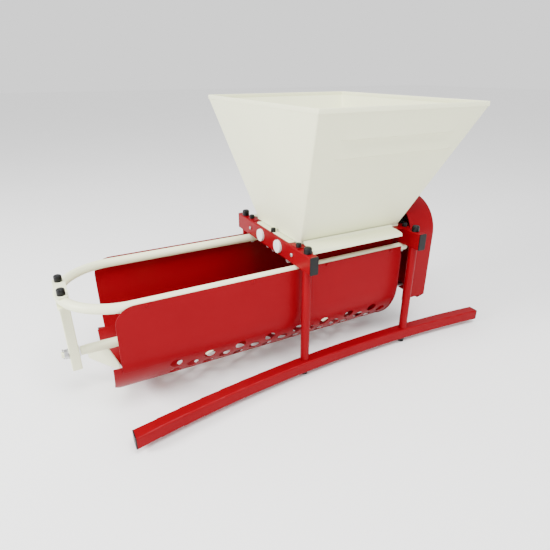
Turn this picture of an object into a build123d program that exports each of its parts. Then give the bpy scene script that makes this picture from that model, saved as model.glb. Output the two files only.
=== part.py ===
from build123d import *
import os
from math import acos, atan2, cos, degrees, hypot, pi, radians, sin, sqrt, tan

# Manual grape crusher destemmer: a hopper over two fluted rollers, an open perforated
# trough with a paddle rotor below, on a light tube frame with two long bowed support bars.
# Millimetres. +X runs along the trough towards the drive guard, +Y to the back, +Z up.
# The origin is the middle of the bounding box on the surface that the machine stands on.

os.makedirs("parts", exist_ok=True)

# ---- driving dimensions -------------------------------------------------------------
fit = 0.03                       # radial clearance of a shaft in its bore
sheet = 1.5                      # painted sheet of trough, hopper and guard

foot_drop = 16.0                 # capped nuts reach this far below the support bars
bar_size, bar_wall = 35.0, 2.0
bar_bow_r, bar_apex_x, bar_apex_y = 3800.0, 204.5, 189.0
bar_left_x, bar_right_x = -538.5, 653.5
tube_od, tube_wall = 25.0, 2.0
leg_y, leg_length = 194.0, 283.0
beam_width, beam_height, beam_length, beam_wall = 25.0, 50.0, 450.0, 2.0
beam_left_x, beam_right_x = -33.0, 345.0

rail_y, rail_bend_x = 147.0, -485.5
post_x, post_size, post_bottom = -626.0, 25.0, 99.0
bracket_bolt_y = 43.0

trough_outer_r, trough_z = 161.3, 194.0
panel_top, panel_rear_top = 328.0, 333.8
panel_left_x, trough_right_x, panel_corner = -530.5, 329.0, 50.0
panel_front_angle, panel_rear_angle = 72.5, 55.0
screen_left_x, screen_front_angle, screen_rear_angle = -551.5, 80.0, 62.0
hole_r, hole_pitch, hole_step_angle = 16.0, 46.0, 8.1

roller_y, roller_z = 55.0, 360.0
roller_left_x, roller_right_x = -16.0, 328.0
roller_shaft_r = 9.0
bush_r, bush_flange_r, bush_flange = 13.0, 19.0, 8.0
feed_bolt_y = 132.0

rotor_z, rotor_tube_r, rotor_stub_r = 148.0, 13.5, 8.0
paddle_reach, paddle_count, paddle_pitch = 100.0, 9, 100.0

hopper_rim_x, hopper_rim_y, hopper_rim_z = (-97.5, 417.5), 315.0, 752.0
hopper_throat_x, hopper_throat_y = (-17.0, 329.0), 132.0

gear_module, gear_teeth, gear_width, gear_left_x = 5.0, 22, 22.0, 368.0
drive_pulley_r, rotor_pulley_r, belt_x = 88.0, 25.0, 405.0
belt_top_width, belt_depth, belt_side_angle = 10.0, 6.0, 19.0

guard_right_x, guard_half_width, guard_bottom, guard_top = 454.5, 164.0, 110.0, 458.0
guard_corner, guard_chamfer = 108.0, 25.0
crank_length, crank_x = 180.0, 470.0

# ---- places that follow from them ---------------------------------------------------
bar_top = foot_drop + bar_size
beam_bottom = bar_top + leg_length
beam_top = beam_bottom + beam_height
beam_xs = (beam_left_x, beam_right_x)
left_outer_x, left_inner_x = beam_left_x - beam_width / 2, beam_left_x + beam_width / 2
right_inner_x, right_outer_x = beam_right_x - beam_width / 2, beam_right_x + beam_width / 2
tube_r = tube_od / 2
rail_z = beam_bottom - tube_r
screen_outer_r = trough_outer_r - sheet - 0.3
leg_points = [(x, y) for x in beam_xs for y in (-leg_y, leg_y)]
rail_points = [(x, y) for x in beam_xs for y in (-rail_y, rail_y)]
feed_points = [(y, roller_z) for y in (-feed_bolt_y, feed_bolt_y)]


# ---- hardware shapes that repeat ------------------------------------------------------
def hex_nut(across_flats, height, bore_r):
    """Hexagon nut standing on its own XY plane."""
    with BuildPart() as nut:
        with BuildSketch():
            RegularPolygon(across_flats / sqrt(3), 6)
            Circle(bore_r, mode=Mode.SUBTRACT)
        extrude(amount=height)
        chamfer(nut.edges().filter_by(Plane.XY).group_by(Axis.Z)[-1].filter_by(GeomType.LINE), 0.6)
    return nut.part


def nut_cap(outer_r, height, inner_r, inner_height):
    """Domed plastic cap that snaps over a nut, hollow from below."""
    with BuildPart() as cap:
        Cylinder(outer_r, height, align=(Align.CENTER, Align.CENTER, Align.MIN))
        fillet(cap.edges().group_by(Axis.Z)[-1], outer_r * 0.45)
        Cylinder(inner_r, inner_height, align=(Align.CENTER, Align.CENTER, Align.MIN), mode=Mode.SUBTRACT)
    return cap.part


def cap_screw(shank_r, length, head_r, head_height):
    """Pan-head screw: the head above its own XY plane, the shank below."""
    with BuildPart() as screw:
        Cylinder(head_r, head_height, align=(Align.CENTER, Align.CENTER, Align.MIN))
        fillet(screw.edges().group_by(Axis.Z)[-1], head_height * 0.5)
        Cylinder(shank_r, length, align=(Align.CENTER, Align.CENTER, Align.MAX))
    return screw.part


# ---- crossbeams and their plugs -------------------------------------------------------
def crossbeam(x):
    """Rectangular tube across the machine, bored for the roller bushes and the bolts."""
    with BuildPart() as beam:
        with BuildSketch(Plane.XZ.offset(-beam_length / 2)):
            with Locations((x, beam_bottom + beam_height / 2)):
                RectangleRounded(beam_width, beam_height, 3)
                Rectangle(beam_width - 2 * beam_wall, beam_height - 2 * beam_wall, mode=Mode.SUBTRACT)
        extrude(amount=beam_length)
        with BuildSketch(Plane.YZ.offset(x - beam_width)):
            with Locations((-roller_y, roller_z), (roller_y, roller_z)):
                Circle(bush_r)
            with Locations(feed_points):
                Circle(3.2)
        extrude(amount=2 * beam_width, mode=Mode.SUBTRACT)
        with BuildSketch(Plane.XY.offset(beam_bottom - 1)):
            with Locations((x, -leg_y), (x, leg_y)):
                Circle(4.2)
            with Locations((x, -rail_y), (x, 0), (x, rail_y)):
                Circle(3.2)
        extrude(amount=beam_height + 2, mode=Mode.SUBTRACT)
    return beam.part


crossbeam_left = crossbeam(beam_left_x)
crossbeam_left.label = "crossbeam_left"
export_step(crossbeam_left, "parts/crossbeam_left.step")

# the right beam also takes two screws of the trough's end plate in its lower wall
end_screw_y = 70.0
with BuildPart() as crossbeam_right:
    add(crossbeam(beam_right_x))
    with Locations(*[(beam_right_x, y, beam_bottom) for y in (-end_screw_y, end_screw_y)]):
        Cylinder(3 + fit, 2 * beam_wall + 2, mode=Mode.SUBTRACT)
crossbeam_right.part.label = "crossbeam_right"
export_step(crossbeam_right.part, "parts/crossbeam_right.step")

# push-in plastic plugs: a thin head on the tube's end and a block inside the tube
plug_head, plug_depth, plug_slack = 3.0, 12.0, 0.1
with BuildPart() as beam_end_plugs:
    for x in beam_xs:
        for side in (-1, 1):
            end = (x, side * beam_length / 2, beam_bottom + beam_height / 2)
            with BuildSketch(Plane(origin=end, x_dir=(1, 0, 0), z_dir=(0, side, 0))):
                RectangleRounded(beam_width, beam_height, 3)
            extrude(amount=plug_head)
            with BuildSketch(Plane(origin=end, x_dir=(1, 0, 0), z_dir=(0, -side, 0))):
                Rectangle(beam_width - 2 * beam_wall - plug_slack, beam_height - 2 * beam_wall - plug_slack)
            extrude(amount=plug_depth)
beam_end_plugs.part.label = "beam_end_plugs"
export_step(beam_end_plugs.part, "parts/beam_end_plugs.step")


# ---- legs -----------------------------------------------------------------------------
leg_names = ("leg_front_left", "leg_rear_left", "leg_front_right", "leg_rear_right")
for name, point in zip(leg_names, leg_points):
    with BuildPart() as leg:
        with BuildSketch(Plane.XY.offset(bar_top)):
            with Locations(point):
                Circle(tube_r)
                Circle(tube_r - tube_wall, mode=Mode.SUBTRACT)
        extrude(amount=leg_length)
        # welded end discs that the tie rod passes through
        for disc_z in (bar_top, beam_bottom - 5):
            with BuildSketch(Plane.XY.offset(disc_z)):
                with Locations(point):
                    Circle(tube_r - tube_wall)
                    Circle(4.2, mode=Mode.SUBTRACT)
            extrude(amount=5)
    leg.part.label = name
    export_step(leg.part, f"parts/{name}.step")


# ---- bowed support bars -----------------------------------------------------------------
def support_bar(side):
    """Square tube bent to one long arc in the horizontal plane, its ends cut square."""
    with BuildPart() as bar:
        with BuildSketch(Plane.YZ.offset(bar_apex_x)):
            with Locations((side * bar_apex_y, foot_drop + bar_size / 2)):
                RectangleRounded(bar_size, bar_size, 4)
                RectangleRounded(bar_size - 2 * bar_wall, bar_size - 2 * bar_wall, 2, mode=Mode.SUBTRACT)
        bow_axis = Axis((bar_apex_x, side * (bar_apex_y + bar_bow_r), 0), (0, 0, 1))
        revolve(axis=bow_axis, revolution_arc=12 * side)
        with BuildSketch(Plane.YZ.offset(bar_apex_x)):
            with Locations((side * bar_apex_y, foot_drop + bar_size / 2)):
                RectangleRounded(bar_size, bar_size, 4)
                RectangleRounded(bar_size - 2 * bar_wall, bar_size - 2 * bar_wall, 2, mode=Mode.SUBTRACT)
        revolve(axis=bow_axis, revolution_arc=-12 * side)
        split(bisect_by=Plane.YZ.offset(bar_left_x), keep=Keep.TOP)
        split(bisect_by=Plane.YZ.offset(bar_right_x), keep=Keep.BOTTOM)
        with BuildSketch(Plane.XY):
            with Locations(*[(x, side * leg_y) for x in beam_xs]):
                Circle(4.2)
        extrude(amount=bar_top + 5, mode=Mode.SUBTRACT)
    return bar.part


support_bar_front = support_bar(-1)
support_bar_front.label = "support_bar_front"
export_step(support_bar_front, "parts/support_bar_front.step")

support_bar_rear = support_bar(1)
support_bar_rear.label = "support_bar_rear"
export_step(support_bar_rear, "parts/support_bar_rear.step")


def bow_y(x):
    """How far the middle line of a support bar stands from the machine's middle plane."""
    return bar_apex_y + bar_bow_r - sqrt(bar_bow_r ** 2 - (x - bar_apex_x) ** 2)


# heads lie flat on the cut ends; the blocks inside are slim, so that they clear the bow
with BuildPart() as bar_end_plugs:
    for end_x, outward in ((bar_left_x, -1), (bar_right_x, 1)):
        for side in (-1, 1):
            end = (end_x, side * bow_y(end_x), foot_drop + bar_size / 2)
            with BuildSketch(Plane(origin=end, x_dir=(0, 1, 0), z_dir=(outward, 0, 0))):
                RectangleRounded(bar_size, bar_size, 4)
            extrude(amount=plug_head)
            with BuildSketch(Plane(origin=end, x_dir=(0, 1, 0), z_dir=(-outward, 0, 0))):
                Rectangle(bar_size - 2 * bar_wall - 6, bar_size - 2 * bar_wall - 2)
            extrude(amount=plug_depth)
bar_end_plugs.part.label = "bar_end_plugs"
export_step(bar_end_plugs.part, "parts/bar_end_plugs.step")


# ---- tie rods through beam, leg and bar, with capped nuts at both ends --------------------
rod_bottom, rod_top = 7.0, beam_top + 9
with BuildPart() as leg_tie_rods:
    with BuildSketch(Plane.XY.offset(rod_bottom)):
        with Locations(leg_points):
            Circle(4)
    extrude(amount=rod_top - rod_bottom)
leg_tie_rods.part.label = "leg_tie_rods"
export_step(leg_tie_rods.part, "parts/leg_tie_rods.step")

m8_nut = hex_nut(13, 6.5, 4 + fit)

foot_cap_r = 9.5
with BuildPart() as foot_nut_caps:
    for x, y in leg_points:
        with BuildSketch(Plane.XY):
            with Locations((x, y)):
                Circle(foot_cap_r)
        extrude(amount=foot_drop)
    chamfer(foot_nut_caps.edges().group_by(Axis.Z)[0], 1.5)
    for x, y in leg_points:
        with BuildSketch(Plane.XY.offset(foot_drop)):
            with Locations((x, y)):
                Circle(8)
        extrude(amount=-11, mode=Mode.SUBTRACT)
foot_nut_caps.part.label = "foot_nut_caps"
export_step(foot_nut_caps.part, "parts/foot_nut_caps.step")


# ---- U-shaped rail under the beams ---------------------------------------------------------
rail_end_x = right_outer_x - plug_head
bracket_bolt_x = rail_bend_x - sqrt(rail_y ** 2 - bracket_bolt_y ** 2)
bracket_points = [(bracket_bolt_x, -bracket_bolt_y), (bracket_bolt_x, bracket_bolt_y)]
panel_screw_xs = (-452.0, -179.0, 54.0, 287.0)
with BuildPart() as rail:
    with BuildLine(Plane.XY.offset(rail_z)) as rail_path:
        Line((rail_end_x, -rail_y), (rail_bend_x, -rail_y))
        ThreePointArc((rail_bend_x, -rail_y), (rail_bend_x - rail_y, 0), (rail_bend_x, rail_y))
        Line((rail_bend_x, rail_y), (rail_end_x, rail_y))
    with BuildSketch(Plane(origin=(rail_end_x, -rail_y, rail_z), x_dir=(0, 1, 0), z_dir=(-1, 0, 0))):
        Circle(tube_r)
        Circle(tube_r - tube_wall, mode=Mode.SUBTRACT)
    sweep()
    with BuildSketch(Plane.XY.offset(rail_z - tube_od)):
        with Locations(rail_points):
            Circle(3.2)
        with Locations(bracket_points):
            Circle(4.2)
    extrude(amount=2 * tube_od, mode=Mode.SUBTRACT)
    for side in (-1, 1):
        with BuildSketch(Plane(origin=(0, side * rail_y, rail_z), x_dir=(1, 0, 0), z_dir=(0, side, 0))):
            with Locations(*[(x, 0) for x in panel_screw_xs]):
                Circle(2.5 + fit)
        extrude(amount=tube_od, mode=Mode.SUBTRACT)
rail.part.label = "rail"
export_step(rail.part, "parts/rail.step")

with BuildPart() as rail_end_plugs:
    for side in (-1, 1):
        with BuildSketch(Plane.YZ.offset(rail_end_x)):
            with Locations((side * rail_y, rail_z)):
                Circle(tube_r)
        extrude(amount=plug_head)
        with BuildSketch(Plane.YZ.offset(rail_end_x)):
            with Locations((side * rail_y, rail_z)):
                Circle(tube_r - tube_wall - plug_slack)
        extrude(amount=-4)
rail_end_plugs.part.label = "rail_end_plugs"
export_step(rail_end_plugs.part, "parts/rail_end_plugs.step")

# M6 screws from below through rail, beam and the feed plates' top flanges
plate = 2.0
flange_top = beam_top + 0.2 + plate
rail_bottom = rail_z - tube_r
m6_nut = hex_nut(10, 5.2, 3 + fit)
with BuildPart() as rail_screws:
    with Locations(*[Location((x, y, rail_bottom), (180, 0, 0)) for x, y in rail_points]):
        add(cap_screw(3, flange_top + 7 - rail_bottom, 5.5, 4))
rail_screws.part.label = "rail_screws"
export_step(rail_screws.part, "parts/rail_screws.step")




# ---- end bracket on the rail's bend, which carries the rotor's outer bearing -----------------
bracket_plate = 5.0
rotor_bush_r = 11.0
with BuildPart() as end_bracket:
    with BuildSketch(Plane.XY.offset(rail_bottom - bracket_plate)):
        with Locations((post_x, 0)):
            RectangleRounded(30, 2 * bracket_bolt_y + 32, 6)
        with Locations(bracket_points):
            Circle(4.2, mode=Mode.SUBTRACT)
    extrude(amount=bracket_plate)
    with BuildSketch(Plane.XY.offset(post_bottom)):
        with Locations((post_x, 0)):
            RectangleRounded(post_size, post_size, 3)
            Rectangle(post_size - 2 * tube_wall, post_size - 2 * tube_wall, mode=Mode.SUBTRACT)
    extrude(amount=rail_bottom - bracket_plate - post_bottom)
    with BuildSketch(Plane.YZ.offset(post_x - post_size)):
        with Locations((0, rotor_z)):
            Circle(rotor_bush_r)
    extrude(amount=2 * post_size, mode=Mode.SUBTRACT)
end_bracket.part.label = "end_bracket"
export_step(end_bracket.part, "parts/end_bracket.step")

with BuildPart() as bracket_top_plate:
    with BuildSketch(Plane.XY.offset(beam_bottom)):
        with Locations((post_x, 0)):
            RectangleRounded(30, 2 * bracket_bolt_y + 32, 6)
        with Locations(bracket_points):
            Circle(4.2, mode=Mode.SUBTRACT)
    extrude(amount=3)
bracket_top_plate.part.label = "bracket_top_plate"
export_step(bracket_top_plate.part, "parts/bracket_top_plate.step")

bracket_top = beam_bottom + 3
bracket_base = rail_bottom - bracket_plate
with BuildPart() as bracket_screws:
    with Locations(*[Location((x, y, bracket_base), (180, 0, 0)) for x, y in bracket_points]):
        add(cap_screw(4, bracket_top + 8.5 - bracket_base, 7, 5))
bracket_screws.part.label = "bracket_screws"
export_step(bracket_screws.part, "parts/bracket_screws.step")




# ---- trough: two side panels, the perforated screen and the end plate -------------------------
def side_panel(side, lower_angle, top):
    """Upright panel that turns inwards at the bottom, with a large round corner."""
    middle_r = trough_outer_r - sheet / 2
    start_angle = 180 if side < 0 else 0
    with BuildPart() as panel:
        with BuildSketch(Plane.YZ.offset(panel_left_x)):
            with BuildLine():
                Line((side * middle_r, top), (side * middle_r, trough_z))
                CenterArc((0, trough_z), middle_r, start_angle, -side * (90 - lower_angle))
            trace(line_width=sheet)
        extrude(amount=trough_right_x - panel_left_x)
        fillet(panel.edges().filter_by(Axis.Y).group_by(Axis.Z)[-1].sort_by(Axis.X)[0], panel_corner)
        with BuildSketch(Plane(origin=(0, 0, rail_z), x_dir=(1, 0, 0), z_dir=(0, side, 0))):
            with Locations(*[(x, 0) for x in panel_screw_xs]):
                Circle(2.7)
        extrude(amount=trough_outer_r + 5, mode=Mode.SUBTRACT)
    return panel.part


trough_panel_front = side_panel(-1, panel_front_angle, panel_top)
trough_panel_front.label = "trough_panel_front"
export_step(trough_panel_front, "parts/trough_panel_front.step")

trough_panel_rear = side_panel(1, panel_rear_angle, panel_rear_top)
trough_panel_rear.label = "trough_panel_rear"
export_step(trough_panel_rear, "parts/trough_panel_rear.step")

with BuildPart() as panel_screws:
    for side in (-1, 1):
        for x in panel_screw_xs:
            with Locations(Location((x, side * trough_outer_r, rail_z), (-90 * side, 0, 0))):
                add(cap_screw(2.5, 8, 5, 3))
panel_screws.part.label = "panel_screws"
export_step(panel_screws.part, "parts/panel_screws.step")

# Two sets of hole columns, staggered by half a pitch, over a half-round sheet. Angles are
# measured from straight down, positive towards the back; the outermost front rows are extra.
even_columns = [-395.5 + 2 * hole_pitch * i for i in range(8)]
odd_columns = [x + hole_pitch for x in even_columns]
even_angles = [2 * hole_step_angle * i for i in range(-4, 4)]
odd_angles = [hole_step_angle * (2 * i + 1) for i in range(-4, 3)]
with BuildPart() as screen:
    with BuildSketch(Plane.YZ.offset(screen_left_x)):
        with BuildLine():
            CenterArc((0, trough_z), screen_outer_r - sheet / 2, 270 - screen_front_angle,
                      screen_front_angle + screen_rear_angle)
        trace(line_width=sheet)
    extrude(amount=trough_right_x - screen_left_x)
    # the discharge end is cut to a shallow curve that leaves an ear on each side
    with BuildSketch(Plane.XY):
        with Locations((screen_left_x - 147, 0)):
            Circle(190)
    extrude(amount=trough_z, mode=Mode.SUBTRACT)
    for columns, angles in ((even_columns, even_angles), (odd_columns, odd_angles)):
        for angle in angles:
            outward = (0, sin(radians(angle)), -cos(radians(angle)))
            with BuildSketch(Plane(origin=(0, 0, trough_z), x_dir=(1, 0, 0), z_dir=outward)):
                with Locations(*[(x, 0) for x in columns]):
                    Circle(hole_r)
            extrude(amount=trough_outer_r + 5, mode=Mode.SUBTRACT)
screen.part.label = "destemming_screen"
export_step(screen.part, "parts/destemming_screen.step")

end_plate = 3.0
rotor_hub_r = 13.0
spacer_y, spacer_z = 58.0, 129.0
with BuildPart() as trough_end_plate:
    with BuildSketch(Plane.YZ.offset(right_inner_x - end_plate)):
        with Locations((0, trough_z)):
            Circle(trough_outer_r)
            Rectangle(2 * trough_outer_r, 300 - trough_z, align=(Align.CENTER, Align.MIN))
            Rectangle(262, beam_bottom - trough_z, align=(Align.CENTER, Align.MIN))
        with Locations((0, rotor_z)):
            Circle(rotor_hub_r, mode=Mode.SUBTRACT)
        with Locations((-spacer_y, spacer_z), (spacer_y, spacer_z)):
            Circle(3.2, mode=Mode.SUBTRACT)
    extrude(amount=end_plate)
    # folded top edge that is screwed up against the beam
    with BuildSketch(Plane.XY.offset(beam_bottom - end_plate)):
        with Locations((right_inner_x, 0)):
            Rectangle(22, 200, align=(Align.MIN, Align.CENTER))
        with Locations(*[(beam_right_x, y) for y in (-end_screw_y, 0, end_screw_y)]):
            Circle(3.2, mode=Mode.SUBTRACT)
    extrude(amount=end_plate)
trough_end_plate.part.label = "trough_end_plate"
export_step(trough_end_plate.part, "parts/trough_end_plate.step")



# ---- feed plates: folded sheets that close the gap beside each roller ---------------------------
flange_left_x, flange_right_x = left_outer_x + 3.5, right_outer_x - 3.5
flange_span = flange_right_x - flange_left_x
flange_mid_x = (flange_left_x + flange_right_x) / 2
plate_y, plate_bottom, plate_step_z = 120.0, 300.0, beam_bottom + 2
plate_span = right_inner_x - left_inner_x
plate_mid_x = (left_inner_x + right_inner_x) / 2
stand = (Align.CENTER, Align.CENTER, Align.MIN)
hang = (Align.CENTER, Align.CENTER, Align.MAX)


def feed_plate(side):
    """Upright plate with an outward top flange and a small lug against each beam."""
    with BuildPart() as feed:
        with Locations((plate_mid_x, side * plate_y, plate_step_z)):
            Box(plate_span - 8, plate, plate_step_z - plate_bottom, align=hang)
            Box(plate_span, plate, flange_top - plate_step_z, align=stand)
        with Locations((flange_mid_x, side * (plate_y + 18.5), flange_top - plate / 2)):
            Box(flange_span, 39, plate)
        for x, inward in ((left_inner_x, 1), (right_inner_x, -1)):
            with Locations((x + inward * plate / 2, side * (plate_y + 12.5), roller_z)):
                Box(plate, 27, 28)
        with BuildSketch(Plane.YZ.offset(left_inner_x - 1)):
            with Locations((side * feed_bolt_y, roller_z)):
                Circle(3.2)
        extrude(amount=right_inner_x - left_inner_x + 2, mode=Mode.SUBTRACT)
        with BuildSketch(Plane.XY.offset(flange_top - plate - 1)):
            with Locations(*[(x, side * rail_y) for x in beam_xs]):
                Circle(3.2)
        extrude(amount=plate + 2, mode=Mode.SUBTRACT)
    return feed.part


feed_plate_front = feed_plate(-1)
feed_plate_front.label = "feed_plate_front"
export_step(feed_plate_front, "parts/feed_plate_front.step")

feed_plate_rear = feed_plate(1)
feed_plate_rear.label = "feed_plate_rear"
export_step(feed_plate_rear, "parts/feed_plate_rear.step")

# heads outside the beams, nuts on the lugs inside; the right pair also holds the guard
guard_lug = 1.5
feed_screw_length = beam_width + plate + 8.0
with BuildPart() as feed_screws:
    for y, z in feed_points:
        with Locations(Location((left_outer_x, y, z), (0, -90, 0))):
            add(cap_screw(3, feed_screw_length, 5.5, 4))
        with Locations(Location((right_outer_x + guard_lug, y, z), (0, 90, 0))):
            add(cap_screw(3, feed_screw_length + guard_lug, 5.5, 4))
feed_screws.part.label = "feed_screws"
export_step(feed_screws.part, "parts/feed_screws.step")



# ---- hopper -------------------------------------------------------------------------------------
throat_z = 392.0
hem_height, hem_thick = 12.0, 3.0
hem_z = hopper_rim_z - hem_height
rim_mid_x = (hopper_rim_x[0] + hopper_rim_x[1]) / 2
rim_half_x = (hopper_rim_x[1] - hopper_rim_x[0]) / 2
throat_mid_x = (hopper_throat_x[0] + hopper_throat_x[1]) / 2
throat_half_x = (hopper_throat_x[1] - hopper_throat_x[0]) / 2
side_slope = (rim_half_x - throat_half_x) / (hem_z - throat_z)
front_slope = (hopper_rim_y - hopper_throat_y) / (hem_z - throat_z)
side_wall = sheet * sqrt(1 + side_slope ** 2)
front_wall = sheet * sqrt(1 + front_slope ** 2)
hopper_flange = 105.0
with BuildPart() as hopper:
    # sloping walls
    with BuildSketch(Plane.XY.offset(throat_z)):
        with Locations((throat_mid_x, 0)):
            Rectangle(2 * (throat_half_x + side_wall), 2 * (hopper_throat_y + front_wall))
    with BuildSketch(Plane.XY.offset(hem_z + 1)):
        with Locations((rim_mid_x, 0)):
            Rectangle(2 * (rim_half_x - 1), 2 * (hopper_rim_y - 1))
    loft()
    with BuildSketch(Plane.XY.offset(throat_z)):
        with Locations((throat_mid_x, 0)):
            Rectangle(2 * throat_half_x, 2 * hopper_throat_y)
    with BuildSketch(Plane.XY.offset(hem_z + 1)):
        with Locations((rim_mid_x, 0)):
            Rectangle(2 * (rim_half_x - 1 - side_wall), 2 * (hopper_rim_y - 1 - front_wall))
    loft(mode=Mode.SUBTRACT)
    # hem folded round the rim
    with BuildSketch(Plane.XY.offset(hem_z)):
        with Locations((rim_mid_x, 0)):
            Rectangle(2 * rim_half_x, 2 * hopper_rim_y)
            Rectangle(2 * (rim_half_x - hem_thick), 2 * (hopper_rim_y - hem_thick), mode=Mode.SUBTRACT)
    extrude(amount=hem_height)
    # short upright neck, and the tabs that the screws hold down on the beams
    with BuildSketch(Plane.XY.offset(flange_top + 0.3)):
        with Locations((throat_mid_x, 0)):
            Rectangle(2 * (throat_half_x + side_wall), 2 * (hopper_throat_y + front_wall))
            Rectangle(2 * throat_half_x, 2 * hopper_throat_y, mode=Mode.SUBTRACT)
    extrude(amount=throat_z - flange_top - 0.3)
    for edge_x, tab_x, outward in (
        (hopper_throat_x[0], beam_left_x - 4.5, -1),
        (hopper_throat_x[1], beam_right_x + 4.5, 1),
    ):
        with Locations((edge_x + outward * side_wall / 2, 0, beam_top)):
            Box(side_wall, 2 * hopper_flange, 4, align=(Align.CENTER, Align.CENTER, Align.MIN))
        with Locations(((edge_x + tab_x) / 2, 0, beam_top)):
            Box(abs(edge_x - tab_x), 2 * hopper_flange, sheet, align=(Align.CENTER, Align.CENTER, Align.MIN))
    with BuildSketch(Plane.XY.offset(beam_top - 1)):
        with Locations(*[(x, 0) for x in beam_xs]):
            Circle(3.2)
    extrude(amount=4, mode=Mode.SUBTRACT)
hopper.part.label = "hopper"
export_step(hopper.part, "parts/hopper.step")

# spot-welded aprons in front and behind, curved down over the feed plates' flanges
apron_left_x, apron_right_x = -13.5, 299.5
with BuildPart() as hopper_aprons:
    for side in (-1, 1):
        with BuildSketch(Plane.YZ.offset(apron_left_x)):
            with BuildLine():
                FilletPolyline(
                    (side * 138.5, 396.0),
                    (side * 143, 388),
                    (side * 160, 387.2),
                    (side * 187, 383.5),
                    (side * 190.5, 375.5),
                    radius=3,
                )
            trace(line_width=sheet)
        extrude(amount=apron_right_x - apron_left_x)
        with BuildSketch(Plane.XY.offset(beam_top - 20)):
            with Locations((apron_right_x, side * 210)):
                Rectangle(60, 60)
            with Locations((apron_right_x - 30, side * 180)):
                Circle(30, mode=Mode.SUBTRACT)
            with Locations((apron_right_x - 30, side * 180)):
                Rectangle(60, 60, align=(Align.MAX, Align.CENTER), mode=Mode.SUBTRACT)
        extrude(amount=40, mode=Mode.SUBTRACT)
hopper_aprons.part.label = "hopper_aprons"
export_step(hopper_aprons.part, "parts/hopper_aprons.step")

# screws up through the beams: one at each end of the hopper, two for the trough's end plate
end_seat = beam_bottom - end_plate
screw_seats = (
    (beam_left_x, 0, beam_bottom, beam_height + sheet + 7),
    (beam_right_x, 0, end_seat, end_plate + beam_height + sheet + 7),
    (beam_right_x, -end_screw_y, end_seat, 12),
    (beam_right_x, end_screw_y, end_seat, 12),
)
with BuildPart() as beam_screws:
    for x, y, z, length in screw_seats:
        with Locations(Location((x, y, z), (180, 0, 0))):
            add(cap_screw(3, length, 5.5, 4))
beam_screws.part.label = "beam_screws"
export_step(beam_screws.part, "parts/beam_screws.step")




# ---- roller bushes in the beams -----------------------------------------------------------------
# the left pair is closed outside and covers the shafts' ends; the right pair is bored through
bush_skin = 3.5
with BuildPart() as roller_bushes:
    for face_x, outward, skin in ((left_outer_x, -1, bush_skin), (right_outer_x, 1, -1)):
        for side in (-1, 1):
            seat = Plane(origin=(face_x, side * roller_y, roller_z), x_dir=(0, 1, 0), z_dir=(outward, 0, 0))
            with BuildSketch(seat):
                Circle(bush_flange_r)
            extrude(amount=bush_flange)
            with BuildSketch(seat):
                Circle(bush_r - fit)
            extrude(amount=-beam_width)
            with BuildSketch(seat.offset(bush_flange - skin)):
                Circle(roller_shaft_r + fit)
            extrude(amount=-2 * beam_width, mode=Mode.SUBTRACT)
    fillet(roller_bushes.edges().filter_by(GeomType.CIRCLE).group_by(Axis.X)[0], 2.5)
roller_bushes.part.label = "roller_bushes"
export_step(roller_bushes.part, "parts/roller_bushes.step")


# ---- fluted rollers, their shafts and gears -------------------------------------------------------
def fluted_roller(side, turn):
    """Roller body with eight rounded ribs and five lightening holes from end to end."""
    with BuildPart() as roller:
        with BuildSketch(Plane.YZ.offset(roller_left_x)):
            with Locations((side * roller_y, roller_z)):
                Circle(49)
                with PolarLocations(50, 8, start_angle=turn):
                    Circle(8)
        extrude(amount=roller_right_x - roller_left_x)
        fillet(roller.edges().filter_by(Axis.X), 4)
        with BuildSketch(Plane.YZ.offset(roller_left_x)):
            with Locations((side * roller_y, roller_z)):
                Circle(roller_shaft_r + fit)
                with PolarLocations(28, 5, start_angle=turn):
                    Circle(10)
        extrude(amount=roller_right_x - roller_left_x, mode=Mode.SUBTRACT)
    return roller.part


roller_front = fluted_roller(-1, 0)
roller_front.label = "roller_front"
export_step(roller_front, "parts/roller_front.step")

# turned by half a rib, so that the ribs of one roller face the hollows of the other
roller_rear = fluted_roller(1, 22.5)
roller_rear.label = "roller_rear"
export_step(roller_rear, "parts/roller_rear.step")

shaft_left_x = left_outer_x - bush_flange + bush_skin + 0.5
crank_hub_right = crank_x + 14
for name, y, right_x in (
    ("roller_shaft_front", -roller_y, gear_left_x + gear_width + 2),
    ("roller_shaft_rear", roller_y, crank_hub_right + 6),
):
    with BuildPart() as roller_shaft:
        with BuildSketch(Plane.YZ.offset(shaft_left_x)):
            with Locations((y, roller_z)):
                Circle(roller_shaft_r)
        extrude(amount=right_x - shaft_left_x)
        chamfer(roller_shaft.edges().filter_by(GeomType.CIRCLE), 1)
    roller_shaft.part.label = name
    export_step(roller_shaft.part, f"parts/{name}.step")

# involute teeth, thinned a little for backlash and shortened a little at the tip
gear_pitch_r = gear_module * gear_teeth / 2
gear_base_r = gear_pitch_r * cos(radians(20))
gear_root_r = gear_pitch_r - 1.25 * gear_module
gear_tip_r = gear_pitch_r + 0.92 * gear_module
backlash = 0.25


def involute(angle):
    """The involute function of a pressure angle in radians."""
    return tan(angle) - angle


def flank_angle(r):
    """Angle from a tooth's middle line to its flank at radius r, in radians."""
    pressure = acos(min(1, gear_base_r / r))
    return pi / (2 * gear_teeth) + involute(radians(20)) - involute(pressure) - backlash / (2 * gear_pitch_r)


def flank_point(r, side):
    """Point of a flank at radius r, on the given side of the tooth's middle line."""
    return (r * cos(flank_angle(r)), side * r * sin(flank_angle(r)))


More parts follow.
